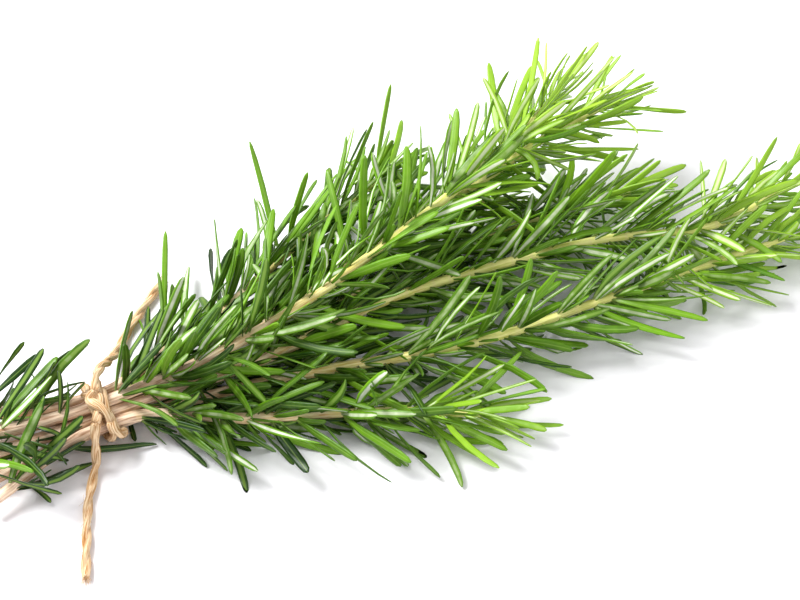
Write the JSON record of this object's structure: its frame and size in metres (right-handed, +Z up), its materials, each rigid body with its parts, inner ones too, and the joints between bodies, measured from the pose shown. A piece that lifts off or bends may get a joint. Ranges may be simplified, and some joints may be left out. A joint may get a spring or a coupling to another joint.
{
  "type": "tied bunch of rosemary sprigs",
  "caption": "Bunch of cut rosemary sprigs lying on its side: woody stems with whorls of narrow leaves and soft green tips, bound by knotted jute twine with two loose tails.",
  "frame": {"origin": "middle of the bunch's box without its free tails, at the surface it lies on", "axes": "+X along the bunch from the cut ends to the tips, +Y to the back, +Z up from the surface"},
  "size_m": [0.3004, 0.1436, 0.0544],
  "materials": {
    "woody_stem": "fine-grained tan bark, greening towards the tips",
    "leaf": "leathery leaf, satin green above and felted pale grey-green beneath",
    "young_shoot": "soft bright yellow-green young leaf, satin",
    "jute_twine": "matt twisted jute with loose fibres"
  },
  "bodies": {
    "root": {"back_leaves_1": "leaf", "back_leaves_2": "leaf", "back_leaves_3": "leaf", "back_leaves_4": "leaf", "back_leaves_rear": "leaf", "back_stem": "woody_stem", "back_tip": "young_shoot", "crest_leaves_1": "leaf", "crest_leaves_2": "leaf", "crest_leaves_3": "leaf", "crest_leaves_4": "leaf", "crest_leaves_5": "leaf", "crest_leaves_6": "leaf", "crest_leaves_rear": "leaf", "crest_stem": "woody_stem", "crest_tip": "young_shoot", "fork_leaves_1": "leaf", "fork_leaves_2": "leaf", "fork_leaves_3": "leaf", "fork_leaves_4": "leaf", "fork_stem": "woody_stem", "fork_tip": "young_shoot", "front_leaves_1": "leaf", "front_leaves_2": "leaf", "front_leaves_3": "leaf", "front_leaves_4": "leaf", "front_leaves_5": "leaf", "front_leaves_6": "leaf", "front_stem": "woody_stem", "front_tip": "young_shoot", "inner_leaves_1": "leaf", "inner_leaves_2": "leaf", "inner_leaves_3": "leaf", "inner_leaves_4": "leaf", "inner_stem": "woody_stem", "inner_tip": "young_shoot", "low_leaves_1": "leaf", "low_leaves_2": "leaf", "low_leaves_3": "leaf", "low_leaves_4": "leaf", "low_leaves_rear": "leaf", "low_stem": "woody_stem", "low_tip": "young_shoot", "middle_leaves_1": "leaf", "middle_leaves_2": "leaf", "middle_leaves_3": "leaf", "middle_leaves_4": "leaf", "middle_leaves_5": "leaf", "middle_leaves_6": "leaf", "middle_leaves_rear": "leaf", "middle_stem": "woody_stem", "middle_tip": "young_shoot", "short_leaves_1": "leaf", "short_leaves_2": "leaf", "short_leaves_3": "leaf", "short_stem": "woody_stem", "short_tip": "young_shoot", "twine_tail_back": "jute_twine", "twine_tail_front": "jute_twine", "twine_tie": "jute_twine"}
  },
  "joints": []
}
